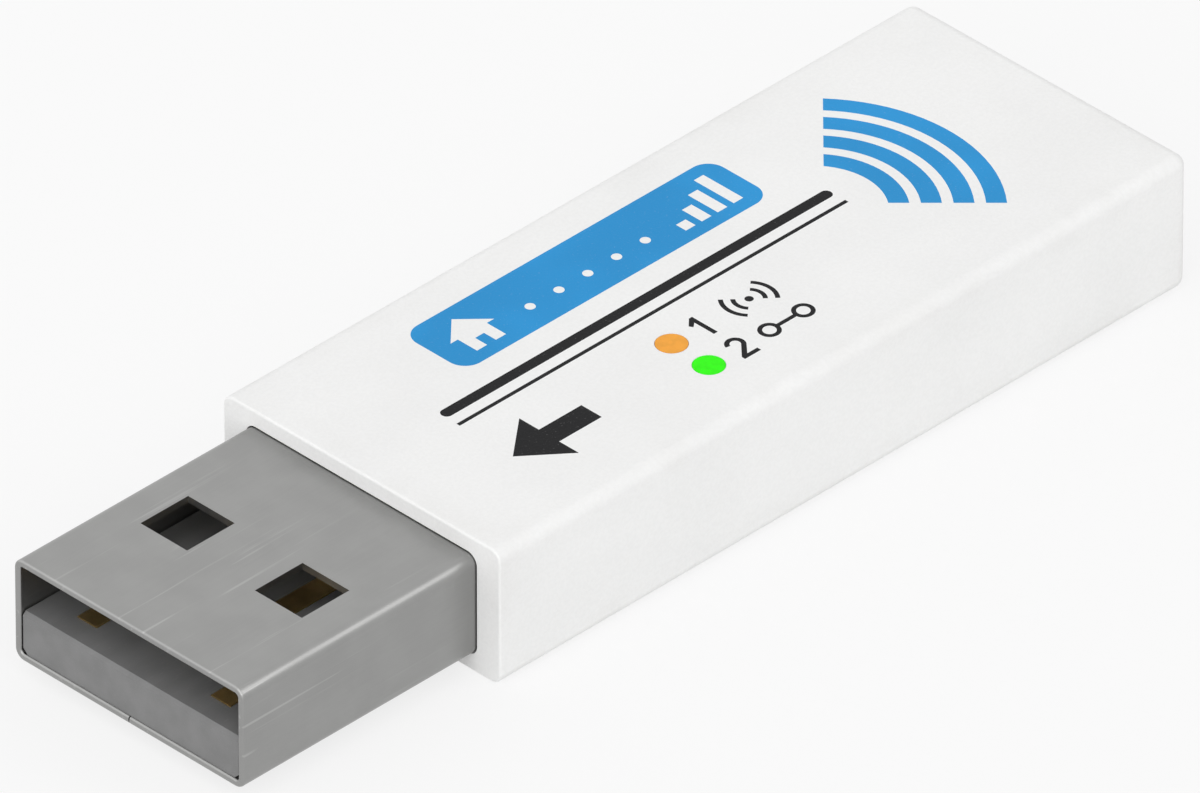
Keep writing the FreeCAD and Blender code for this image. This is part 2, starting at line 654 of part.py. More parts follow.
def make_flat_chip(name, along, across, up=BOARD_TOP):
    """A square chip with its contacts underneath and a dimple by the first."""
    body = new_body(name)
    half = "flat_chip_side / 2"
    square = new_sketch(body, "outline", "XY")
    rectangle(square, f"-{half}", half, f"-{half}", half)
    pad(body, square, "flat_chip_height")
    mark = new_sketch(body, "pin_mark_place", "XY", "flat_chip_height")
    disc(mark, f"-{half} + pin_mark", f"{half} - pin_mark", "pin_mark")
    pocket(body, mark, "pin_mark_depth")
    place(body, along, across, up)
    return body


def make_leaded_chip(name, size, along, across):
    """A moulded chip with gull-wing leads on both long sides. Its size names the sheet's values."""
    body = new_body(name)
    half_span = f"({size}_span / 2)"
    half_width = f"({size}_width / 2)"
    shoulder = f"({size}_height / 2)"
    foot = f"({half_span} - ({half_span} - {half_width}) / 2)"
    moulding = new_sketch(body, "moulding", "XY", "lead_sheet / 2")
    rectangle(moulding, f"-{half_width}", half_width, f"-{size}_length / 2", f"{size}_length / 2")
    pad(body, moulding, f"{size}_height - lead_sheet / 2")
    leads = new_sketch(body, "leads", "XZ", f"-{size}_pitch * {(LEADS_EACH_SIDE - 1) / 2}")
    outline(leads, [
        (f"-{half_span}", "0"),
        (f"-{foot} + lead_sheet", "0"),
        (f"-{foot} + lead_sheet", f"{shoulder} - lead_sheet"),
        (f"{foot} - lead_sheet", f"{shoulder} - lead_sheet"),
        (f"{foot} - lead_sheet", "0"),
        (half_span, "0"),
        (half_span, "lead_sheet"),
        (foot, "lead_sheet"),
        (foot, shoulder),
        (f"-{foot}", shoulder),
        (f"-{foot}", "lead_sheet"),
        (f"-{half_span}", "lead_sheet"),
    ])
    strip = pad(body, leads, f"{size}_lead", both_ways=True)
    row = body.newObject("PartDesign::LinearPattern", "lead_row")
    row.Originals = [strip]
    row.Direction = (leads, ["N_Axis"])
    row.Mode = "Spacing"
    row.Occurrences = LEADS_EACH_SIDE
    bind(row, "Offset", f"{size}_pitch")
    body.Tip = row
    doc.recompute()
    place(body, along, across, BOARD_TOP)
    return body


def make_radio_board():
    """The radio module's board, with half round solder holes along both sides."""
    body = new_body("radio_board")
    shape = new_sketch(body, "board_outline", "XY")
    rectangle(shape, "-module_length / 2", "module_length / 2", "-module_width / 2", "module_width / 2")
    pad(body, shape, "module_thickness")
    holes = new_sketch(body, "edge_holes", "XY", "module_thickness")
    for step in range(EDGE_HOLES):
        along = f"edge_hole_pitch * ({step - (EDGE_HOLES - 1) / 2})"
        for side in ("-", ""):
            disc(holes, along, f"{side}module_width / 2", "edge_hole")
    pocket(body, holes, "module_thickness")
    place(body, MODULE_ALONG, 0, BOARD_TOP)
    return body


def make_radio_shield():
    """A folded can, open underneath, with small holes in its top."""
    body = new_body("radio_shield")
    half_length = "(module_length / 2 - shield_margin)"
    half_width = "(module_width / 2 - shield_margin)"
    outside = new_sketch(body, "outside", "XY")
    rectangle(outside, f"-{half_length}", half_length, f"-{half_width}", half_width)
    block = pad(body, outside, "shield_height")
    dress(body, "Fillet", block, lambda edge: not lies_at(edge, 2, 0), "shield_fold")
    inside = new_sketch(body, "inside", "XY")
    rectangle(inside, f"-{half_length} + shield_sheet", f"{half_length} - shield_sheet",
              f"-{half_width} + shield_sheet", f"{half_width} - shield_sheet")
    pocket(body, inside, "shield_height - shield_sheet", reverse=True)
    holes = new_sketch(body, "top_holes", "XY", "shield_height")
    for row in range(SHIELD_HOLES_ALONG):
        along = f"shield_hole_pitch * ({row - (SHIELD_HOLES_ALONG - 1) / 2})"
        for column in range(SHIELD_HOLES_ACROSS):
            across = f"shield_hole_pitch * ({column - (SHIELD_HOLES_ACROSS - 1) / 2})"
            disc(holes, along, across, "shield_hole")
    pocket(body, holes, "shield_sheet")
    place(body, MODULE_ALONG, 0, MODULE_TOP)
    return body


def make_radio_crystal(along, across):
    """A ceramic base with a smaller metal lid."""
    body = new_body("radio_crystal")
    base = new_sketch(body, "base", "XY")
    rectangle(base, "-crystal_length / 2", "crystal_length / 2", "-crystal_width / 2", "crystal_width / 2")
    pad(body, base, "crystal_height - crystal_lid")
    lid = new_sketch(body, "lid", "XY", "crystal_height - crystal_lid")
    rectangle(lid, "-crystal_length / 2 + crystal_rim", "crystal_length / 2 - crystal_rim",
              "-crystal_width / 2 + crystal_rim", "crystal_width / 2 - crystal_rim")
    pad(body, lid, "crystal_lid")
    place(body, along, across, MODULE_TOP)
    return body


def make_plug():
    make_plug_shell()
    make_plug_insulator()
    make_contact("contact_power", "outer", "-")
    make_contact("contact_data_minus", "inner", "-")
    make_contact("contact_data_plus", "inner", "")
    make_contact("contact_ground", "outer", "")


def make_indicators():
    for colour, across in (("orange", ORANGE_ACROSS), ("green", GREEN_ACROSS)):
        make_light_pipe(f"{colour}_light_pipe", across)
        make_lamp(f"{colour}_led", across)
        make_capped_part(f"{colour}_led_resistor", "medium", "resistor_height", RESISTORS_ALONG, across)


def make_board_parts():
    """The first row stands right behind the plug, the others follow it."""
    make_leaded_chip("surge_protector", "surge", FIRST_ROW, 0)
    bead_across = "(-surge_length / 2 - part_gap - medium_width / 2)"
    make_capped_part("ferrite_bead", "medium", "bead_height", FIRST_ROW, bead_across)
    input_across = f"({bead_across} - medium_width / 2 - part_gap - large_width / 2)"
    make_capped_part("input_capacitor", "large", "large_height", FIRST_ROW, input_across)
    regulator_across = "(surge_length / 2 + part_gap + regulator_length / 2)"
    make_leaded_chip("voltage_regulator", "regulator", FIRST_ROW, regulator_across)

    make_flat_chip("interface_chip", CHIP_ALONG, CHIP_ACROSS)
    beside_chip = f"({CHIP_ACROSS} + flat_chip_side / 2 + part_gap + small_width / 2)"
    make_capped_part("capacitor_1", "small", "small_height", f"{CHIP_ALONG} - small_length", beside_chip)
    make_capped_part("capacitor_2", "small", "small_height", f"{CHIP_ALONG} + small_length", beside_chip)
    make_capped_part("output_capacitor", "large", "large_height", THIRD_ROW, CHIP_ACROSS, turned=True)
    capacitor_across = f"({CHIP_ACROSS} - large_length / 2 - part_gap - small_length / 2)"
    make_capped_part("capacitor_3", "small", "small_height", THIRD_ROW, capacitor_across, turned=True)


def make_radio_module():
    """Under the shield the chip stands at one corner, the crystal beside it, small parts around."""
    make_radio_board()
    make_radio_shield()
    inner_half_width = "(module_width / 2 - shield_margin - shield_sheet - module_gap)"
    inner_half_length = "(module_length / 2 - shield_margin - shield_sheet - module_gap)"
    chip_along = f"({MODULE_ALONG} - {inner_half_length} + flat_chip_side / 2)"
    chip_across = f"(-{inner_half_width} + flat_chip_side / 2)"
    make_flat_chip("radio_chip", chip_along, chip_across, MODULE_TOP)
    crystal_along = f"({MODULE_ALONG} - {inner_half_length} + crystal_length / 2)"
    crystal_across = f"({chip_across} + flat_chip_side / 2 + module_gap + crystal_width / 2)"
    make_radio_crystal(crystal_along, crystal_across)

    beside_chip = f"({chip_along} + flat_chip_side / 2 + module_gap + small_length / 2)"
    for step in range(RADIO_CAPACITORS):
        across = f"({chip_across} - flat_chip_side / 2 + small_width / 2 + {step} * (small_width + module_gap))"
        make_capped_part(f"radio_capacitor_{step + 1}", "small", "small_height", beside_chip, across, MODULE_TOP)
    beside_crystal = f"({crystal_along} + crystal_length / 2 + module_gap + small_width / 2)"
    for step in range(RADIO_INDUCTORS):
        along = f"({beside_crystal} + {step} * (small_width + module_gap))"
        make_capped_part(f"radio_inductor_{step + 1}", "small", "small_height", along, crystal_across,
                         MODULE_TOP, turned=True)


def make_antenna():
    make_capped_part("chip_antenna", "antenna", "antenna_height", ANTENNA_ALONG, 0, turned=True)
    inductor_across = "(antenna_length / 2 + part_gap + small_width / 2)"
    make_capped_part("antenna_inductor", "small", "small_height", ANTENNA_ALONG, inductor_across)


def check_document():
    """Refuses to write anything while an object is broken or a piece isn't one sound solid."""
    doc.recompute()
    for thing in doc.Objects:
        if "Invalid" in thing.State or "Error" in thing.State:
            raise RuntimeError(f"{thing.Label}: {thing.State}")
    for body in NODES:
        shape = body.Shape
        if shape.isNull() or not shape.isValid() or len(shape.Solids) != 1:
            raise RuntimeError(f"{body.Label}: not one valid solid")


def write_steps():
    os.makedirs("parts", exist_ok=True)
    for body in NODES:
        body.Shape.exportStep(f"parts/{body.Label}.step")


make_housing()
make_plug()
make_circuit_board()
make_indicators()
make_board_parts()
make_radio_module()
make_antenna()
check_document()
write_steps()
print(len(NODES), "pieces written")
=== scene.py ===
import math

import bmesh
import bpy
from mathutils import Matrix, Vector
from mathutils.geometry import delaunay_2d_cdt
from mathutils.kdtree import KDTree


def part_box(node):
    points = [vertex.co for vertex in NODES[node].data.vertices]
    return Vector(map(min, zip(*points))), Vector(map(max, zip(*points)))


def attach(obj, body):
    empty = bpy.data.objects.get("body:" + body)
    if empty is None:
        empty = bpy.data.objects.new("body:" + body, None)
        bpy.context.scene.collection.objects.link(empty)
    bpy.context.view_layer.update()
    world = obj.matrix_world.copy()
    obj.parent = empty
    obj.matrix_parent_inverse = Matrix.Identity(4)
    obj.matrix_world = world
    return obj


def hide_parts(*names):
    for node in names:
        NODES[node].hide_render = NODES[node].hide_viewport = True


# Looks of a smart home radio stick: a white moulded sleeve with a printed top, a folded steel
# plug in front, two indicator dots, and the boards and small parts inside.
# Frame: +X runs from the plug's tip to the far end and +Z is the printed side. Materials and print
# are worked out in millimetres, all else in metres.

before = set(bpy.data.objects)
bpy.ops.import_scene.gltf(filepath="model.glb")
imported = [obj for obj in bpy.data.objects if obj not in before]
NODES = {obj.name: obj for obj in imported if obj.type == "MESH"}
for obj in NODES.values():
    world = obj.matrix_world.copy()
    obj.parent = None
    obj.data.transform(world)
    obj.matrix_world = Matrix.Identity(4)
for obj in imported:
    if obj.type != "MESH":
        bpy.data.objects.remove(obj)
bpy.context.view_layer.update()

bl_info = {
    "name": "Smart home radio stick",
    "version": (1, 0, 0),
    "blender": (4, 5, 0),
    "location": "View3D > Sidebar > Radio stick",
    "description": "Finishes, print, studio and camera for the radio stick",
    "category": "Object",
}

MM = 0.001
BODY_LOW, BODY_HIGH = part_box("housing")
PLUG_LOW, PLUG_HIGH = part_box("plug_shell")
FACE = BODY_LOW.x
LEFT = BODY_HIGH.y
TOP = BODY_HIGH.z


# Settings that a user would change

def colour(name, description, red, green, blue):
    return bpy.props.FloatVectorProperty(
        name=name, description=description, subtype="COLOR", size=3, min=0, max=1,
        default=(red, green, blue))


def length(name, description, millimetres):
    return bpy.props.FloatProperty(
        name=name, description=description, unit="LENGTH", subtype="DISTANCE", min=0,
        precision=5, default=millimetres * MM)


def share(name, description, value):
    return bpy.props.FloatProperty(
        name=name, description=description, subtype="FACTOR", min=0, max=1, default=value)


def angle(name, description, degrees):
    return bpy.props.FloatProperty(
        name=name, description=description, unit="ROTATION", subtype="ANGLE",
        default=math.radians(degrees))


def amount(name, description, value):
    return bpy.props.FloatProperty(name=name, description=description, min=0, default=value)


class HousingSettings(bpy.types.PropertyGroup):
    plastic: colour("Plastic", "White of the moulding", 0.915, 0.915, 0.91)
    roughness: share("Roughness", "Middle roughness of the moulding", 0.58)
    grain_size: length("Grain size", "One grain of the eroded mould face", 0.14)
    grain_depth: length("Grain depth", "Depth of the eroded mould face", 0.012)
    handling: share("Handling", "How much hands have smoothed and greyed the edges", 0.35)


class PrintSettings(bpy.types.PropertyGroup):
    blue_ink: colour("Blue ink", "Ink of the band and the radio waves", 0.03, 0.3, 0.66)
    dark_ink: colour("Dark ink", "Ink of the rules, arrow, figures and signs", 0.01, 0.01, 0.011)
    band_setback: length("Band setback", "From the body's front face to the band", 7.3)
    band_length: length("Band length", "Blue band along the stick", 16.1)
    band_side: length("Band side", "From the body's left side to the band", 2.0)
    band_width: length("Band width", "Blue band across the stick", 3.34)
    band_corner: length("Band corner", "Rounding of the band's corners", 0.8)
    sign_height: length("Sign height", "House sign and tallest bar in the band", 2.1)
    waves_centre: length("Waves centre", "From the body's front face to the waves' centre", 23.8)
    waves_side: length("Waves side", "From the body's left side to the waves' centre", 7.08)
    wave_radius: length("Wave radius", "Inside radius of the smallest wave", 2.85)
    wave_pitch: length("Wave pitch", "From one wave to the next", 1.21)
    wave_width: length("Wave width", "Width of each wave", 0.78)
    rule_setback: length("Rule setback", "From the body's front face to the rules", 4.7)
    rule_length: length("Rule length", "Both rules along the stick", 20.4)
    rule_side: length("Rule side", "From the body's left side to the thick rule", 6.5)
    thick_rule: length("Thick rule", "Width of the thick rule", 0.5)
    thin_rule: length("Thin rule", "Width of the thin rule", 0.18)
    arrow_setback: length("Arrow setback", "From the body's front face to the arrow's point", 4.7)
    arrow_length: length("Arrow length", "Arrow that points to the plug", 4.1)
    arrow_side: length("Arrow side", "From the body's left side to the arrow's middle", 10.45)
    figure_height: length("Figure height", "Figures beside the indicator dots", 1.35)
    figure_gap: length("Figure gap", "From a dot's edge to its figure", 0.6)
    symbol_gap: length("Symbol gap", "From a figure's middle to the start of its symbol", 1.5)


class PlugSettings(bpy.types.PropertyGroup):
    steel: colour("Plated steel", "Nickel plating of the plug shell", 0.325, 0.325, 0.32)
    steel_roughness: share("Steel roughness", "Middle roughness of the plating", 0.36)
    scratches: share("Scratches", "How strong the marks from plugging in are", 0.5)
    insulator: colour("Insulator", "Grey plastic inside the plug", 0.195, 0.195, 0.195)
    gold: colour("Gold", "Plating of the four contacts", 0.93, 0.68, 0.3)


class IndicatorSettings(bpy.types.PropertyGroup):
    orange: colour("Orange", "Light pipe nearer the middle", 0.86, 0.37, 0.05)
    green: colour("Green", "Light pipe nearer the side", 0.03, 0.93, 0.0)
    # Painted glow: the pipes give off light of their own, and the lamps below them give none.
    painted_glow: amount("Glow", "How brightly the lamps below light the pipes", 0.06)


class ElectronicsSettings(bpy.types.PropertyGroup):
    solder_mask: colour("Solder mask", "Lacquer on both boards", 0.012, 0.11, 0.04)
    tin: colour("Tin", "Shield, leads and metal caps", 0.46, 0.455, 0.43)
    resin: colour("Resin", "Moulding of the chips", 0.018, 0.018, 0.019)
    white_ceramic: colour("White ceramic", "Antenna and lamp bases", 0.7, 0.68, 0.62)
    brown_ceramic: colour("Brown ceramic", "Capacitors", 0.3, 0.19, 0.1)
    dark_ceramic: colour("Dark ceramic", "Resistors, bead and inductors", 0.06, 0.06, 0.07)


class StudioSettings(bpy.types.PropertyGroup):
    azimuth: angle("Azimuth", "Camera round the stick, 0 looks along +Y", -45)
    elevation: angle("Elevation", "Camera above the horizon", 35.264)
    distance: amount("Distance", "Camera to the aim, in metres", 1.236)
    lens: amount("Lens", "Focal length in millimetres", 1000)
    aim_along: length("Aim along", "From the stick's middle to the aim, along the stick", 0.526)
    aim_across: length("Aim across", "From the stick's middle to the aim, across the stick", 0.234)
    floor: colour("Floor", "Pale floor", 0.85, 0.85, 0.85)
    paper: share("Paper", "How far the floor shows as plain white", 0.76)
    sky: share("Sky", "Level of the light from all round", 0.52)
    key: amount("Key lamp", "Strength in watts for each square metre", 1.4)
    fill: amount("Fill lamp", "Strength in watts for each square metre", 0.35)
    back: amount("Back lamp", "Strength in watts for each square metre", 0.6)
    softness: angle("Softness", "Width of the key and back lamps in the sky", 80)
    fill_softness: angle("Fill softness", "Width of the fill lamp in the sky", 34)


# Shader maths

class Wire:
    """One output of a node. Maths on it adds nodes to the same tree."""

    def __init__(self, tree, socket):
        self.tree = tree
        self.socket = socket

    def maths(self, operation, first, second=0.0):
        return self.tree.node("ShaderNodeMath", {"operation": operation},
                              {"Value": first, "Value_001": second})

    def __add__(self, other):
        return self.maths("ADD", self, other)

    def __sub__(self, other):
        return self.maths("SUBTRACT", self, other)

    def __rsub__(self, other):
        return self.maths("SUBTRACT", other, self)

    def __mul__(self, other):
        return self.maths("MULTIPLY", self, other)

    def __gt__(self, other):
        return self.maths("GREATER_THAN", self, other)

    def __lt__(self, other):
        return self.maths("LESS_THAN", self, other)

    def __abs__(self):
        return self.maths("ABSOLUTE", self)

    def least(self, other):
        return self.maths("MINIMUM", self, other)

    def most(self, other):
        return self.maths("MAXIMUM", self, other)

    def swing(self, reach):
        """Rises from 0 to its reach and falls back, over and over."""
        return self.maths("PINGPONG", self, reach)

    __radd__ = __add__
    __rmul__ = __mul__


class Tree:
    """The nodes of one material, or of the world."""

    def __init__(self, owner):
        owner.use_nodes = True
        self.tree = owner.node_tree
        self.tree.nodes.clear()

    def node(self, kind, settings=None, inputs=None, output=0):
        """Adds a node: its settings first, then the values or wires of its sockets."""
        made = self.tree.nodes.new(kind)
        for name, value in (settings or {}).items():
            setattr(made, name, value)
        sockets = {socket.identifier: socket for socket in made.inputs}
        for name, value in (inputs or {}).items():
            if isinstance(value, Wire):
                self.tree.links.new(value.socket, sockets[name])
            else:
                sockets[name].default_value = value
        return Wire(self, made.outputs[output])

    def place(self):
        """Where the surface lies in the row frame, in millimetres."""
        metres = self.node("ShaderNodeTexCoord", output="Object")
        return self.node("ShaderNodeVectorMath", {"operation": "SCALE"},
                         {"Vector": metres, "Scale": 1 / MM})

    def axis(self, vector, name):
        return self.node("ShaderNodeSeparateXYZ", None, {"Vector": vector}, name)

    def noise(self, place, size, detail=2.0, along=1.0):
        """Soft random values about a half, with patches of that size in millimetres.

        The smaller the factor along the stick, the longer the patches are drawn out there.
        """
        if along != 1.0:
            place = self.node("ShaderNodeVectorMath", {"operation": "MULTIPLY"},
                              {"Vector": place, "Vector_001": (along, 1.0, 1.0)})
        return self.node("ShaderNodeTexNoise", None,
                         {"Vector": place, "Scale": 1 / size, "Detail": detail})

    def cells(self, place, density, output, distance="EUCLIDEAN"):
        """Random cells, with that many along a millimetre."""
        return self.node("ShaderNodeTexVoronoi", {"distance": distance},
                         {"Vector": place, "Scale": density}, output)

    def fade(self, value, start, end):
        """Rises smoothly from 0 at start to 1 at end."""
        return self.node("ShaderNodeMapRange", {"interpolation_type": "SMOOTHSTEP"},
                         {"Value": value, "From Min": start, "From Max": end})

    def blend(self, factor, first, second):
        """One colour passing into another."""
        return self.node("ShaderNodeMix", {"data_type": "RGBA"},
                         {"Factor_Float": factor, "A_Color": first, "B_Color": second}, 2)

    def shade(self, factor, rgb, first, second):
        """A setting's colour, passing from one level to another."""
        return self.blend(factor, opaque(rgb, first), opaque(rgb, second))

    def bump(self, height, depth):
        """The surface's direction over a height that runs from 0 to 1 through that depth."""
        return self.node("ShaderNodeBump", None, {"Height": height, "Distance": depth})

    def finish(self, **sockets):
        """The material's one surface shader. Underscores in the names stand for spaces."""
        inputs = {name.replace("_", " "): value for name, value in sockets.items()}
        self.surface(self.node("ShaderNodeBsdfPrincipled", None, inputs))

    def surface(self, shader, kind="ShaderNodeOutputMaterial"):
        """Ends the tree with its output node, which takes that shader."""
        made = self.tree.nodes.new(kind)
        self.tree.links.new(shader.socket, made.inputs["Surface"])


def new_finish(name, shown):
    """An empty material, and its nodes. The shown colour is the one of the solid viewport."""
    material = bpy.data.materials.new(name)
    material.diffuse_color = opaque(shown)
    return material, Tree(material)


def opaque(rgb, level=1.0):
    """A setting's colour as a socket takes it, lightened or darkened by a level."""
    return (*(min(1.0, part * level) for part in rgb), 1.0)


def uneven(middle, *noises):
    """A value that noises move to both sides of its middle, each given with its full swing."""
    for noise, swing in noises:
        middle = (noise - 0.5) * swing + middle
    return middle


def edge_distance(tree, place, low, high):
    """How far the outside of a box-like piece lies from its nearest edge, in millimetres.

    On the outside the least of the three gaps is 0, so it is the middle one.
    """
    gaps = []
    for name, least, most in zip("XYZ", low, high):
        along = tree.axis(place, name)
        gaps.append((along - least / MM).least(most / MM - along))
    first, second, third = gaps
    return first.least(second).most(first.most(second).least(third))


# Finishes of the housing and its print

GRIME = (0.6, 0.58, 0.54, 1.0)


def eroded_grain(tree, place, housing):
    """The fine matt grain of the mould, and a broad unevenness in how it came out."""
    grain_size = housing.grain_size / MM
    broad_size = 40 * grain_size
    return tree.noise(place, grain_size, detail=3.0), tree.noise(place, broad_size)


def moulded_plastic(housing):
    """White plastic, a little smoother and greyer along the edges that hands hold."""
    material, tree = new_finish("moulded_plastic", housing.plastic)
    place = tree.place()
    grain, broad = eroded_grain(tree, place, housing)
    mottle = (tree.fade(broad, start=0.3, end=0.7) * 0.5
              + tree.fade(grain, start=0.3, end=0.7) * 0.5)
    edge = edge_distance(tree, place, BODY_LOW, BODY_HIGH)
    smudges = tree.fade(tree.noise(place, size=2.6, detail=4.0), start=0.42, end=0.7)
    handled = tree.fade(edge, start=1.6, end=0.1) * smudges * housing.handling
    greyed = handled * 0.3
    smoothed = handled * 0.25
    tree.finish(
        Base_Color=tree.blend(greyed, tree.shade(mottle, housing.plastic, 0.96, 1.02), GRIME),
        Roughness=uneven(housing.roughness, (grain, 0.16), (broad, 0.12)) - smoothed,
        Specular_IOR_Level=0.26,
        Normal=tree.bump(grain, housing.grain_depth))
    return material


def screen_ink(name, ink, housing):
    """Ink over the grain: smoother than the plastic, a little thinner in some places."""
    material, tree = new_finish(name, ink)
    place = tree.place()
    grain, broad = eroded_grain(tree, place, housing)
    tone = tree.shade(tree.fade(broad, start=0.35, end=0.65), ink, 0.95, 1.06)
    thin = tree.fade(tree.noise(place, size=0.09), start=0.62, end=0.8)
    shows_through = thin * 0.06
    filled_depth = housing.grain_depth * 0.6
    tree.finish(
        Base_Color=tree.blend(shows_through, tone, opaque(housing.plastic)),
        Roughness=uneven(0.5, (grain, 0.12), (broad, 0.08)),
        Specular_IOR_Level=0.12,
        Normal=tree.bump(grain, filled_depth))
    return material


# Finishes of the plug

def plated_steel(plug):
    """Bright nickel over rolled sheet, scratched lengthwise where it slides into a socket."""
    material, tree = new_finish("plated_steel", plug.steel)
    place = tree.place()
    rolled = tree.noise(place, size=0.12, detail=3.0, along=0.03)
    clouds = tree.noise(place, size=1.8, detail=3.0)
    lines = tree.fade(tree.noise(place, size=0.22, along=0.02), start=0.62, end=0.7)
    broken = tree.fade(tree.noise(place, size=1.4, along=0.4), start=0.42, end=0.6)
    most_worn = PLUG_LOW.x / MM + 3
    reach = tree.fade(tree.axis(place, "X"), start=FACE / MM, end=most_worn)
    marks = lines * broken * reach * plug.scratches
    tone = tree.shade(tree.fade(clouds, start=0.3, end=0.7), plug.steel, 0.97, 1.03)
    tree.finish(
        Base_Color=tree.blend(marks, tone, opaque(plug.steel, 1.5)),
        Metallic=1.0,
        Roughness=uneven(plug.steel_roughness, (rolled, 0.2), (clouds, 0.06)) - marks * 0.1,
        Normal=tree.bump(rolled * 0.5 - marks, 0.002 * MM))
    return material


def insulating_plastic(plug):
    """Glass filled plastic, matt, with pale fibres just under its skin."""
    material, tree = new_finish("insulating_plastic", plug.insulator)
    place = tree.place()
    grain = tree.noise(place, size=0.06, detail=3.0)
    fibres = tree.fade(tree.noise(place, size=0.05, along=0.12), start=0.6, end=0.75)
    flow = tree.fade(tree.noise(place, size=1.2, along=0.3), start=0.3, end=0.7)
    tone = tree.shade(flow, plug.insulator, 0.92, 1.06)
    tree.finish(
        Base_Color=tree.blend(fibres * 0.2, tone, opaque(plug.insulator, 1.7)),
        Roughness=uneven(0.52, (grain, 0.2)),
        Normal=tree.bump(grain, 0.003 * MM))
    return material


def gold_plating(plug):
    """Hard gold, wiped lengthwise where a socket's springs rub."""
    material, tree = new_finish("gold_plating", plug.gold)
    place = tree.place()
    wiped = tree.noise(place, size=0.08, detail=3.0, along=0.04)
    clouds = tree.noise(place, size=0.8)
    tree.finish(
        Base_Color=tree.shade(tree.fade(clouds, start=0.35, end=0.7), plug.gold, 1.0, 0.85),
        Metallic=1.0,
        Roughness=uneven(0.36, (wiped, 0.2), (clouds, 0.1)),
        Normal=tree.bump(wiped, 0.0008 * MM))
    return material


# Finishes of the indicators

def emissive_pipe(name, tint, painted_glow):
    """Tinted clear plastic with a polished head, cloudy, with a faint painted glow of its own that
    stands in for light from the lamps below, which give none.
    """
    material, tree = new_finish(name, tint)
    place = tree.place()
    clouds = tree.noise(place, size=0.35)
    fine = tree.noise(place, size=0.05)
    tree.finish(
        Base_Color=tree.shade(tree.fade(clouds, start=0.3, end=0.7), tint, 0.94, 1.04),
        Roughness=uneven(0.3, (fine, 0.14)),
        Specular_IOR_Level=0.14,
        # Painted glow: the pipe gives off light itself.
        Emission_Color=tree.shade(clouds, tint, 0.9, 1.0),
        Emission_Strength=painted_glow,
        Normal=tree.bump(fine, 0.0006 * MM))
    return material


def lamp_finish(name, node, tint, parts):
    """A lamp's white base with the tinted clear part above it."""
    material, tree = new_finish(name, tint)
    low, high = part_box(node)
    base_share = 0.42
    base_top = low.z + (high.z - low.z) * base_share
    place = tree.place()
    clear = tree.axis(place, "Z") > base_top / MM
    grain = tree.noise(place, size=0.08)
    tree.finish(
        Base_Color=tree.blend(clear, opaque(parts.white_ceramic), opaque(tint, 0.9)),
        Roughness=uneven(0.5, (grain, 0.2)) - clear * 0.25,
        Normal=tree.bump(grain, 0.001 * MM))
    return material


# Finishes of the boards and the parts on them

SAWN_EDGE = (0.35, 0.33, 0.18, 1.0)


def lacquered_board(name, node, parts):
    """Green lacquer over blocks of parallel copper tracks, tinned holes and a sawn pale edge."""
    material, tree = new_finish(name, parts.solder_mask)
    place = tree.place()
    blocks = tree.cells(place, 0.45, "Color", distance="CHEBYCHEV")
    kind = tree.axis(blocks, "X")
    shift = tree.axis(blocks, "Y")
    lane_pitch = 0.4
    street_pitch = 0.44
    from_gap = (tree.axis(place, "Y") + shift).swing(lane_pitch / 2)
    lanes = tree.fade(from_gap, start=0.09, end=0.12) * (kind > 0.55)
    from_gap = (tree.axis(place, "X") + shift).swing(street_pitch / 2)
    streets = tree.fade(from_gap, start=0.1, end=0.13) * (kind < 0.35)
    tracks = lanes + streets
    copper = tree.shade(tracks * 0.5, parts.solder_mask, 1.0, 1.9)

    from_hole = tree.cells(place, 0.7, "Distance")
    rings = (from_hole < 0.16) * (from_hole > 0.08)
    tinned = tree.blend(rings, copper, opaque(parts.tin, 0.7))
    rim = (edge_distance(tree, place, *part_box(node)) < 0.05) * 0.6
    weave = tree.noise(place, size=0.2)
    tree.finish(
        Base_Color=tree.blend(rim, tinned, SAWN_EDGE),
        Roughness=uneven(0.32, (weave, 0.15)) + rim * 0.4,
        Normal=tree.bump(tracks + weave * 0.2, 0.02 * MM))
    return material


def tinned_sheet(parts):
    """Thin tinned sheet with a faint crystal pattern and drawing marks."""
    material, tree = new_finish("tinned_sheet", parts.tin)
    place = tree.place()
    crystals = tree.axis(tree.cells(place, 1.6, "Color"), "X")
    drawn = tree.noise(place, size=0.1, detail=3.0, along=0.05)
    tree.finish(
        Base_Color=tree.shade(crystals * 0.5, parts.tin, 0.9, 1.08),
        Metallic=1.0,
        Roughness=uneven(0.3, (crystals, 0.12), (drawn, 0.16)),
        Normal=tree.bump(drawn, 0.001 * MM))
    return material


def capped_ceramic(name, node, ceramic, parts, cap_share=0.25):
    """A fired ceramic block between two tinned ends, which lie along its longer side."""
    material, tree = new_finish(name, ceramic)
    low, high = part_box(node)
    size = high - low
    side = "X" if size.x > size.y else "Y"
    middle = getattr((low + high) / 2, side.lower())
    cap_start = max(size.x, size.y) * (0.5 - cap_share)
    hair = 0.003
    place = tree.place()
    from_middle = abs(tree.axis(place, side) - middle / MM)
    cap = from_middle > cap_start / MM - hair
    grain = tree.noise(place, size=0.05, detail=3.0)
    tree.finish(
        Base_Color=tree.blend(cap, tree.shade(grain, ceramic, 0.9, 1.1), opaque(parts.tin)),
        Metallic=cap,
        Roughness=uneven(0.45, (grain, 0.2)) - cap * 0.12,
        Normal=tree.bump(grain, 0.004 * MM))
    return material


def flat_chip(name, parts):
    """Black resin all over, for a chip with its contacts underneath."""
    material, tree = new_finish(name, parts.resin)
    grain = tree.noise(tree.place(), size=0.07, detail=3.0)
    tree.finish(
        Base_Color=opaque(parts.resin),
        Roughness=uneven(0.55, (grain, 0.2)),
        Normal=tree.bump(grain, 0.006 * MM))
    return material


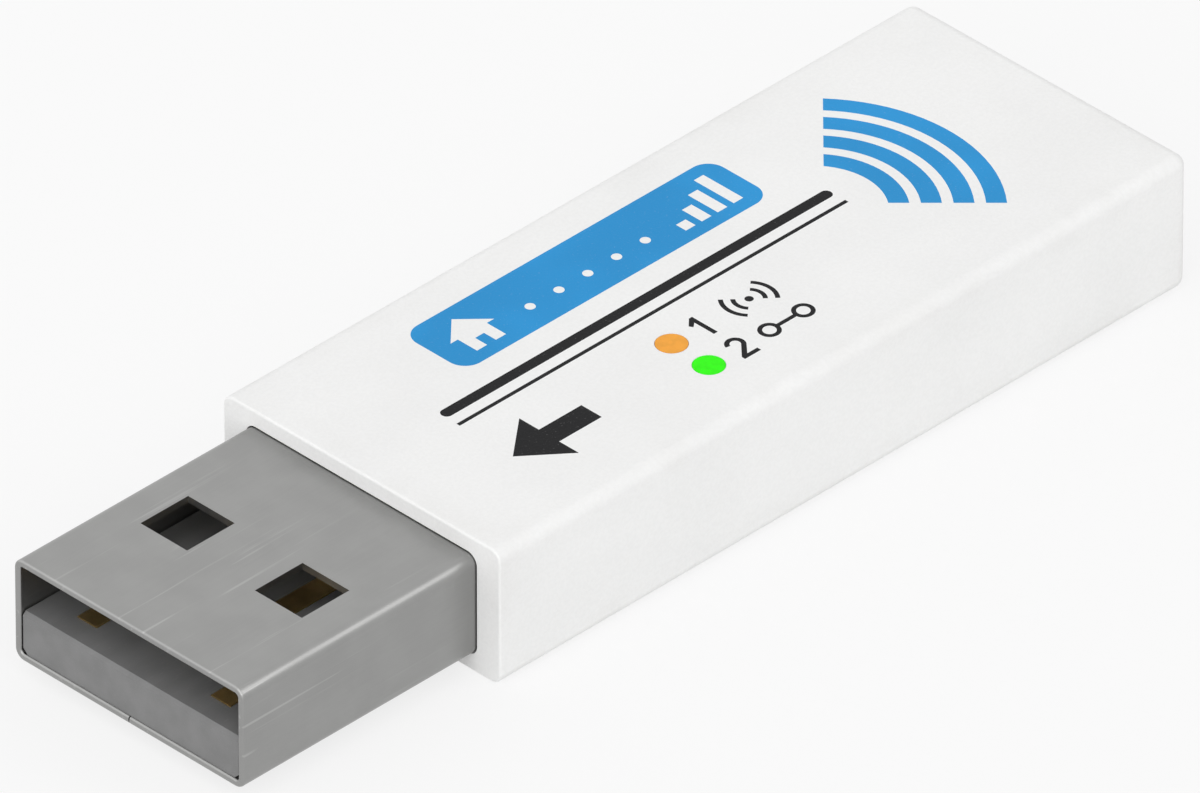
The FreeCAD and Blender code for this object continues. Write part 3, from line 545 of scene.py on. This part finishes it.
def leaded_chip(name, node, body_share, parts):
    """Black resin, and tinned leads beyond the body's share of the width."""
    material, tree = new_finish(name, parts.resin)
    low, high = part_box(node)
    middle = (low.x + high.x) / 2
    half_body = (high.x - low.x) / 2 * body_share
    hair = 0.01
    place = tree.place()
    lead = abs(tree.axis(place, "X") - middle / MM) > half_body / MM + hair
    grain = tree.noise(place, size=0.07, detail=3.0)
    tree.finish(
        Base_Color=tree.blend(lead, opaque(parts.resin), opaque(parts.tin)),
        Metallic=lead,
        Roughness=uneven(0.55, (grain, 0.2)) - lead * 0.22,
        Normal=tree.bump(grain * (1 - lead), 0.006 * MM))
    return material


def crystal_can(name, node, parts):
    """A pale ceramic tray under a plated lid."""
    material, tree = new_finish(name, parts.tin)
    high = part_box(node)[1]
    lid_depth = 0.148
    place = tree.place()
    lid = tree.axis(place, "Z") > high.z / MM - lid_depth
    drawn = tree.noise(place, size=0.09, detail=3.0, along=0.08)
    tree.finish(
        Base_Color=tree.blend(lid, opaque(parts.white_ceramic, 0.5), opaque(parts.tin)),
        Metallic=lid,
        Roughness=uneven(0.5, (drawn, 0.16)) - lid * 0.22,
        Normal=tree.bump(drawn, 0.001 * MM))
    return material


# Print on the top of the housing, in millimetres

PLASTIC, BLUE, DARK = range(3)
ARC_STEP = 4.0


def arc(x, y, radius, start, end):
    """Points along an arc from one angle to the other, in degrees."""
    steps = max(1, round(abs(end - start) / ARC_STEP))
    turns = [math.radians(start + (end - start) * step / steps) for step in range(steps + 1)]
    return [(x + radius * math.cos(turn), y + radius * math.sin(turn)) for turn in turns]


def bar(left, right, low, high, corner=0.0):
    """A rectangle, with its corners rounded where a radius is given."""
    if not corner:
        return [(left, low), (right, low), (right, high), (left, high)]
    return (arc(right - corner, low + corner, corner, -90, 0)
            + arc(right - corner, high - corner, corner, 0, 90)
            + arc(left + corner, high - corner, corner, 90, 180)
            + arc(left + corner, low + corner, corner, 180, 270))


def dot(x, y, radius):
    return arc(x, y, radius, 0, 360)[:-1]


def moved(points, x, y, scale=1.0):
    return [(x + scale * right, y + scale * up) for right, up in points]


def band_print(look, front, left):
    """A blue band with a house sign, a row of dots and rising bars left bare in it."""
    start = front + look.band_setback / MM
    end = start + look.band_length / MM
    high = left - look.band_side / MM
    low = high - look.band_width / MM
    height = look.sign_height / MM
    foot = (low + high - height) / 2
    yield BLUE, bar(start, end, low, high, look.band_corner / MM)

    wall = 0.36
    roof = 0.54
    eave = 0.48
    house = [(-wall, 0), (wall, 0), (wall, eave), (roof, eave), (0, 1), (-roof, eave),
             (-wall, eave)]
    door = bar(-0.11, 0.11, -0.05, 0.3)
    house_at = start + 0.95 * height
    yield PLASTIC, moved(house, house_at, foot, height)
    yield BLUE, moved(door, house_at, foot, height)

    bars = 4
    bar_width = 0.24 * height
    bar_step = 0.4 * height
    end_margin = 0.42 * height
    bars_at = end - end_margin - (bars - 1) * bar_step - bar_width
    for count in range(bars):
        bar_left = bars_at + count * bar_step
        bar_height = height * (count + 1) / bars
        yield PLASTIC, bar(bar_left, bar_left + bar_width, foot, foot + bar_height)

    dots = 5
    dot_radius = 0.1 * height
    dot_level = foot + 0.3 * height
    gap_start = house_at + roof * height
    gap_step = (bars_at - gap_start) / (dots + 1)
    for count in range(dots):
        yield PLASTIC, dot(gap_start + (count + 1) * gap_step, dot_level, dot_radius)


def wave_print(look, front, left):
    """Four rings of one centre, cut off along diagonals that meet a little past the centre."""
    x = front + look.waves_centre / MM
    y = left - look.waves_side / MM
    waves = 4
    cut_offset = 0.6

    def half_angle(radius):
        """From the middle of a ring to where it meets its cut, in degrees."""
        height = (math.sqrt(2 * radius ** 2 - cut_offset ** 2) - cut_offset) / 2
        return math.degrees(math.asin(height / radius))

    for count in range(waves):
        inside = (look.wave_radius + count * look.wave_pitch) / MM
        outside = inside + look.wave_width / MM
        inner = half_angle(inside)
        outer = half_angle(outside)
        yield BLUE, arc(x, y, inside, -inner, inner) + arc(x, y, outside, outer, -outer)


def rule_print(look, front, left):
    """A thick rule with a thin one beside it."""
    start = front + look.rule_setback / MM
    end = start + look.rule_length / MM
    high = left - look.rule_side / MM
    thick = look.thick_rule / MM
    thin = look.thin_rule / MM
    thin_high = high - 2 * thick
    rounding = 0.49 * thick
    yield DARK, bar(start, end, high - thick, high, rounding)
    yield DARK, bar(start, end, thin_high - thin, thin_high)


def arrow_print(look, front, left):
    """A plain arrow that points to the plug."""
    point = front + look.arrow_setback / MM
    size = look.arrow_length / MM
    head = 0.46
    barb = 0.38
    shaft = 0.13
    upper = [(1, shaft), (head, shaft), (head, barb)]
    lower = [(x, -y) for x, y in reversed(upper)]
    yield DARK, moved([(0, 0), *lower, *upper], point, left - look.arrow_side / MM, size)


def waves_sign():
    """A dot that sends waves to both sides, one high, its left end at the origin."""
    middle = 1.0
    dot_radius = 0.13
    wave_radii = (0.38, 0.72)
    wave_width = 0.14
    reach = 42
    yield dot(middle, 0, dot_radius)
    for radius in wave_radii:
        for side in (0, 180):
            yield (arc(middle, 0, radius, side - reach, side + reach)
                   + arc(middle, 0, radius + wave_width, side + reach, side - reach))


def link_sign():
    """Two rings joined by a bar, its left end at the origin."""
    ring = 0.34
    bore = 0.2
    apart = 1.32
    overlap = 0.04
    half_bar = 0.07
    for x in (ring, ring + apart):
        for start in (0, 180):
            yield arc(x, 0, ring, start, start + 180) + arc(x, 0, bore, start + 180, start)
    yield bar(2 * ring - overlap, apart + overlap, -half_bar, half_bar)


def figures():
    """The figures 1 and 2, one high, their left ends at the origin."""
    stroke = 0.15
    stem = 0.24
    one = [(0, 0.74), (0.07, 0.62), (stem, 0.76), (stem, 0), (stem + stroke, 0),
           (stem + stroke, 1), (stem + 0.03, 1)]
    bowl = 0.31
    hook = 168
    neck = -40
    two = (arc(bowl, 1 - bowl, bowl, hook, neck)
           + [(0.235, stroke), (2 * bowl, stroke), (2 * bowl, 0), (0, 0), (0, 0.13)]
           + arc(bowl, 1 - bowl, bowl - stroke, neck, hook))
    return one, two


def figure_print(look):
    """A figure beside each indicator dot, with a symbol behind it."""
    one, two = figures()
    height = look.figure_height / MM
    for figure, symbol, node in ((one, waves_sign(), "orange_light_pipe"),
                                 (two, link_sign(), "green_light_pipe")):
        low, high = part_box(node)
        x = (high.x + look.figure_gap) / MM
        y = (low.y + high.y) / 2 / MM
        yield DARK, moved(figure, x, y - height / 2, height)
        for shape in symbol:
            yield DARK, moved(shape, x + look.symbol_gap / MM, y, height)


def inside_outline(x, y, outline):
    """Whether a point lies inside a closed outline."""
    hit = False
    before_x, before_y = outline[-1]
    for now_x, now_y in outline:
        if (now_y > y) != (before_y > y):
            crossing = now_x + (y - now_y) / (before_y - now_y) * (before_x - now_x)
            hit ^= x < crossing
        before_x, before_y = now_x, now_y
    return hit


def loops_of(edges):
    """The closed loops that a set of border edges forms, each a list of its points."""
    following = dict(edges)
    loops = []
    while following:
        first, point = following.popitem()
        loop = [first]
        while point != first:
            loop.append(point)
            point = following.pop(point)
        loops.append(loop)
    return loops


def top_outlines(mesh, top_faces):
    """The border of the flat top and of the holes in it, in millimetres."""
    borders = {}
    for face in top_faces:
        corners = [tuple(round(part / MM, 6) for part in mesh.vertices[i].co[:2])
                   for i in face.vertices]
        for start, end in zip(corners, corners[1:] + corners[:1]):
            if (end, start) in borders:
                del borders[end, start]
            else:
                borders[start, end] = True
    loops = loops_of(borders.keys())
    loops.sort(key=lambda loop: max(x for x, y in loop) - min(x for x, y in loop))
    return loops.pop(), loops


def printed_top(border, holes, prints):
    """Triangles that fill the top between its border and holes, divided along the print."""
    all_inside_border = 1
    merge_reach = 1e-7
    outlines = [border, *holes, *(outline for ink, outline in prints)]
    points = []
    edges = []
    for outline in outlines:
        start = len(points)
        count = len(outline)
        points.extend(Vector(point) for point in outline)
        edges.extend((start + i, start + (i + 1) % count) for i in range(count))
    corners, _, triangles, *_ = delaunay_2d_cdt(points, edges, [], all_inside_border, merge_reach)
    faces = []
    for triangle in triangles:
        x = sum(corners[i].x for i in triangle) / 3
        y = sum(corners[i].y for i in triangle) / 3
        if any(inside_outline(x, y, hole) for hole in holes):
            continue
        inks = [ink for ink, outline in prints if inside_outline(x, y, outline)]
        faces.append((triangle, inks[-1] if inks else PLASTIC))
    return corners, faces


def welded(points):
    """The distinct places among some points, and for each point the number of its place."""
    reach = 0.0001 * MM
    finder = KDTree(len(points))
    for count, point in enumerate(points):
        finder.insert(point, count)
    finder.balance()
    places = []
    numbers = []
    first_seen = {}
    for point in points:
        leader = min(count for _, count, _ in finder.find_range(point, reach))
        if leader not in first_seen:
            first_seen[leader] = len(places)
            places.append(points[leader])
        numbers.append(first_seen[leader])
    return places, numbers


def housing_prints(look):
    """Every patch of ink on the top with its outline. What comes later lies over the rest."""
    front = FACE / MM
    left = LEFT / MM
    return [*band_print(look, front, left), *wave_print(look, front, left),
            *rule_print(look, front, left), *arrow_print(look, front, left), *figure_print(look)]


def divided_housing(source, prints):
    """The housing's triangles, its flat top divided: all their corners, normals and inks."""
    hair = 1e-8
    top_faces = [face for face in source.polygons
                 if all(TOP - source.vertices[i].co.z < hair for i in face.vertices)]
    border, holes = top_outlines(source, top_faces)
    corners, printed = printed_top(border, holes, prints)
    flat = {face.index for face in top_faces}
    points = []
    normals = []
    inks = []
    for face in source.polygons:
        if face.index not in flat:
            points.extend(source.vertices[i].co for i in face.vertices)
            normals.extend(source.corner_normals[i].vector for i in face.loop_indices)
            inks.append(PLASTIC)
    for triangle, ink in printed:
        points.extend(Vector((corners[i].x * MM, corners[i].y * MM, TOP)) for i in triangle)
        normals.extend([Vector((0, 0, 1))] * 3)
        inks.append(ink)
    return points, normals, inks


def printed_mesh(points, normals, inks):
    """One closed mesh of those triangles, without the slivers that welding closes."""
    places, numbers = welded(points)
    triangles = [numbers[start:start + 3] for start in range(0, len(numbers), 3)]
    kept = [count for count, triangle in enumerate(triangles) if len(set(triangle)) == 3]
    mesh = bpy.data.meshes.new("printed_housing")
    mesh.from_pydata(places, [], [triangles[count] for count in kept])
    mesh.polygons.foreach_set("use_smooth", [True] * len(kept))
    mesh.polygons.foreach_set("material_index", [inks[count] for count in kept])
    mesh.normals_split_custom_set(
        [normals[3 * count + corner] for count in kept for corner in range(3)])
    return mesh


def make_housing(scene):
    """The housing's own form, its flat top divided so that each patch of ink is faces."""
    look = scene.stick_print
    housing = scene.stick_housing
    mesh = printed_mesh(*divided_housing(NODES["housing"].data, housing_prints(look)))
    for finish in (moulded_plastic(housing), screen_ink("blue_ink", look.blue_ink, housing),
                   screen_ink("dark_ink", look.dark_ink, housing)):
        mesh.materials.append(finish)
    piece = bpy.data.objects.new("printed_housing", mesh)
    scene.collection.objects.link(piece)
    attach(piece, "root")
    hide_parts("housing")


def dress(finish, *nodes):
    """Gives CAD nodes one finish."""
    for node in nodes:
        NODES[node].material_slots[0].material = finish


def dress_ceramics(ceramic, parts, *nodes):
    """Gives each small capped part its own finish, because its caps lie at its own ends."""
    for node in nodes:
        dress(capped_ceramic(f"{node}_finish", node, ceramic, parts), node)


# Stage

WHITE = (1, 1, 1, 1)


def add_lamp(scene, name, strength, softness, towards):
    """A far lamp of some width, which stands in that direction from the stick."""
    lamp = bpy.data.lights.new(name, "SUN")
    lamp.energy = strength
    lamp.angle = softness
    holder = bpy.data.objects.new(name, lamp)
    holder.rotation_mode = "QUATERNION"
    holder.rotation_quaternion = Vector(towards).to_track_quat("Z", "Y")
    scene.collection.objects.link(holder)


def seen_directly(tree):
    """1 for what the camera, a gloss or a clear piece shows, 0 for soft light."""
    kinds = ("Is Camera Ray", "Is Glossy Ray", "Is Transmission Ray")
    camera, gloss, clear = (tree.node("ShaderNodeLightPath", output=kind) for kind in kinds)
    return camera.most(gloss).most(clear)


def make_floor(scene, studio):
    """A large pale floor under the stick that still takes its shadow."""
    half_width = 6.0
    gap = 0.03 * MM
    mesh = bpy.data.meshes.new("floor")
    form = bmesh.new()
    bmesh.ops.create_grid(form, x_segments=4, y_segments=4, size=half_width)
    form.to_mesh(mesh)
    form.free()
    floor = bpy.data.objects.new("floor", mesh)
    floor.location.z = -gap
    scene.collection.objects.link(floor)
    material, tree = new_finish("pale_floor", studio.floor)
    matt = tree.node("ShaderNodeBsdfDiffuse", None, {"Color": opaque(studio.floor)})
    white = tree.node("ShaderNodeEmission", None, {"Color": WHITE, "Strength": 1.0})
    tree.surface(tree.node("ShaderNodeMixShader", None, {
        "Fac": seen_directly(tree) * studio.paper, "Shader": matt, "Shader_001": white}))
    mesh.materials.append(material)


def make_sky(scene, studio):
    """Soft light from all round, which shows as plain white."""
    world = bpy.data.worlds.new("sky")
    tree = Tree(world)
    soft = tree.node("ShaderNodeBackground", None, {"Color": WHITE, "Strength": studio.sky})
    white = tree.node("ShaderNodeBackground", None, {"Color": WHITE, "Strength": 1.0})
    tree.surface(tree.node("ShaderNodeMixShader", None, {
        "Fac": seen_directly(tree), "Shader": soft, "Shader_001": white}), "ShaderNodeOutputWorld")
    scene.world = world


def make_camera(scene, studio):
    """A far camera with a long lens, so that parallel edges stay parallel."""
    lens = bpy.data.cameras.new("camera")
    lens.lens = studio.lens
    lens.clip_start = 0.1
    lens.clip_end = 10
    camera = bpy.data.objects.new("camera", lens)
    across = math.cos(studio.elevation)
    back = Vector((math.sin(studio.azimuth) * across, -math.cos(studio.azimuth) * across,
                   math.sin(studio.elevation)))
    aim = Vector((studio.aim_along, studio.aim_across, (BODY_LOW.z + BODY_HIGH.z) / 2))
    camera.location = aim + back * studio.distance
    camera.rotation_mode = "QUATERNION"
    camera.rotation_quaternion = back.to_track_quat("Z", "Y")
    scene.collection.objects.link(camera)
    scene.camera = camera


# Operators

class STICK_OT_stage(bpy.types.Operator):
    """Sets up the floor, the light from all round, the lamps and the camera"""
    bl_idname = "radio_stick.stage"
    bl_label = "Stage"

    def execute(self, context):
        scene = context.scene
        studio = scene.stick_studio
        scene.view_settings.view_transform = "Standard"
        make_camera(scene, studio)
        make_sky(scene, studio)
        make_floor(scene, studio)
        over_plug = (-0.7, -0.45, 0.65)
        over_right_side = (0.5, -0.62, 0.6)
        over_left_side = (-0.35, 0.85, 0.5)
        add_lamp(scene, "key_lamp", studio.key, studio.softness, over_plug)
        add_lamp(scene, "fill_lamp", studio.fill, studio.fill_softness, over_right_side)
        add_lamp(scene, "back_lamp", studio.back, studio.softness, over_left_side)
        return {"FINISHED"}


class STICK_OT_housing(bpy.types.Operator):
    """Makes the white housing with its printed top"""
    bl_idname = "radio_stick.housing"
    bl_label = "Printed housing"

    def execute(self, context):
        make_housing(context.scene)
        return {"FINISHED"}


class STICK_OT_plug(bpy.types.Operator):
    """Finishes the plug's steel shell, its insulator and its contacts"""
    bl_idname = "radio_stick.plug"
    bl_label = "Plug"

    def execute(self, context):
        plug = context.scene.stick_plug
        dress(plated_steel(plug), "plug_shell")
        dress(insulating_plastic(plug), "plug_insulator")
        dress(gold_plating(plug), "contact_power", "contact_data_minus", "contact_data_plus",
              "contact_ground")
        return {"FINISHED"}


class STICK_OT_indicators(bpy.types.Operator):
    """Finishes the two light pipes and the lamps below them"""
    bl_idname = "radio_stick.indicators"
    bl_label = "Indicators"

    def execute(self, context):
        lights = context.scene.stick_indicators
        parts = context.scene.stick_electronics
        for tint_name in ("orange", "green"):
            tint = getattr(lights, tint_name)
            dress(emissive_pipe(f"{tint_name}_pipe", tint, lights.painted_glow), f"{tint_name}_light_pipe")
            lamp = f"{tint_name}_led"
            dress(lamp_finish(f"{tint_name}_lamp", lamp, tint, parts), lamp)
        return {"FINISHED"}


class STICK_OT_main_board(bpy.types.Operator):
    """Finishes the main board and the parts on it"""
    bl_idname = "radio_stick.main_board"
    bl_label = "Main board"

    def execute(self, context):
        parts = context.scene.stick_electronics
        dress(lacquered_board("main_board_lacquer", "circuit_board", parts), "circuit_board")
        dress_ceramics(parts.dark_ceramic, parts,
                       "orange_led_resistor", "green_led_resistor", "ferrite_bead")
        dress_ceramics(parts.brown_ceramic, parts, "input_capacitor", "output_capacitor",
                       "capacitor_1", "capacitor_2", "capacitor_3")
        for name, node, body_share in (("surge_resin", "surge_protector", 1.6 / 2.8),
                                       ("regulator_resin", "voltage_regulator", 1.25 / 2.1)):
            dress(leaded_chip(name, node, body_share, parts), node)
        dress(flat_chip("interface_resin", parts), "interface_chip")
        return {"FINISHED"}


class STICK_OT_radio_module(bpy.types.Operator):
    """Finishes the radio board, its shield, what the shield covers, and the antenna"""
    bl_idname = "radio_stick.radio_module"
    bl_label = "Radio module"

    def execute(self, context):
        parts = context.scene.stick_electronics
        dress(lacquered_board("radio_board_lacquer", "radio_board", parts), "radio_board")
        dress(tinned_sheet(parts), "radio_shield")
        dress(flat_chip("radio_resin", parts), "radio_chip")
        dress(crystal_can("crystal_lid", "radio_crystal", parts), "radio_crystal")
        dress_ceramics(parts.brown_ceramic, parts, "radio_capacitor_1", "radio_capacitor_2",
                       "radio_capacitor_3", "radio_capacitor_4")
        dress_ceramics(parts.dark_ceramic, parts,
                       "radio_inductor_1", "radio_inductor_2", "antenna_inductor")
        dress(capped_ceramic("antenna_finish", "chip_antenna", parts.white_ceramic, parts,
                             cap_share=0.12), "chip_antenna")
        return {"FINISHED"}


STEPS = (STICK_OT_stage, STICK_OT_housing, STICK_OT_plug, STICK_OT_indicators, STICK_OT_main_board,
         STICK_OT_radio_module)

SETTINGS = {
    "stick_housing": HousingSettings,
    "stick_print": PrintSettings,
    "stick_plug": PlugSettings,
    "stick_indicators": IndicatorSettings,
    "stick_electronics": ElectronicsSettings,
    "stick_studio": StudioSettings,
}


class STICK_PT_panel(bpy.types.Panel):
    """Lists the steps and the settings of the radio stick"""
    bl_idname = "STICK_PT_panel"
    bl_label = "Radio stick"
    bl_space_type = "VIEW_3D"
    bl_region_type = "UI"
    bl_category = "Radio stick"

    def draw(self, context):
        layout = self.layout
        for step in STEPS:
            layout.operator(step.bl_idname)
        for place, group in SETTINGS.items():
            box = layout.box()
            for name in group.__annotations__:
                box.prop(getattr(context.scene, place), name)


CLASSES = (*SETTINGS.values(), *STEPS, STICK_PT_panel)


def register():
    for made in CLASSES:
        bpy.utils.register_class(made)
    for place, group in SETTINGS.items():
        setattr(bpy.types.Scene, place, bpy.props.PointerProperty(type=group))


def unregister():
    for place in SETTINGS:
        delattr(bpy.types.Scene, place)
    for made in reversed(CLASSES):
        bpy.utils.unregister_class(made)


def main():
    register()
    for step in STEPS:
        group, name = step.bl_idname.split(".")
        getattr(getattr(bpy.ops, group), name)()


if __name__ == "__main__":
    main()
